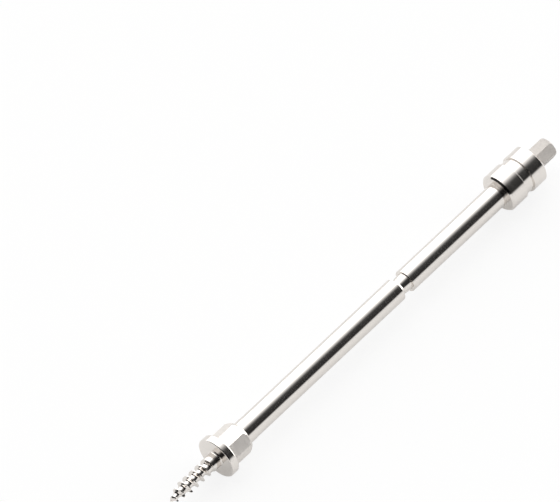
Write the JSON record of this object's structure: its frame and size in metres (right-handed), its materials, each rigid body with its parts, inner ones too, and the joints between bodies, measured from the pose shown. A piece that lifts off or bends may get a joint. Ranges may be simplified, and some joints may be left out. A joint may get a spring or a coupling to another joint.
{
  "type": "bone pin",
  "caption": "Bone pin: a self-drilling bone thread, a stop flange with an octagon boss, a long shaft with a snap-off notch, and a grooved coupling head with a hexagon drive.",
  "frame": {"origin": "centre of the flange's front face, which seats on the bone", "axes": "+X along the pin's axis from the point towards the drive end; +Z square to it, with one corner of the octagon boss 24 degrees from +Z towards -Y"},
  "size_m": [0.1006, 0.0082, 0.0082],
  "materials": {
    "implant_steel": "polished"
  },
  "bodies": {
    "root": {"bone_pin": "implant_steel"}
  },
  "joints": []
}
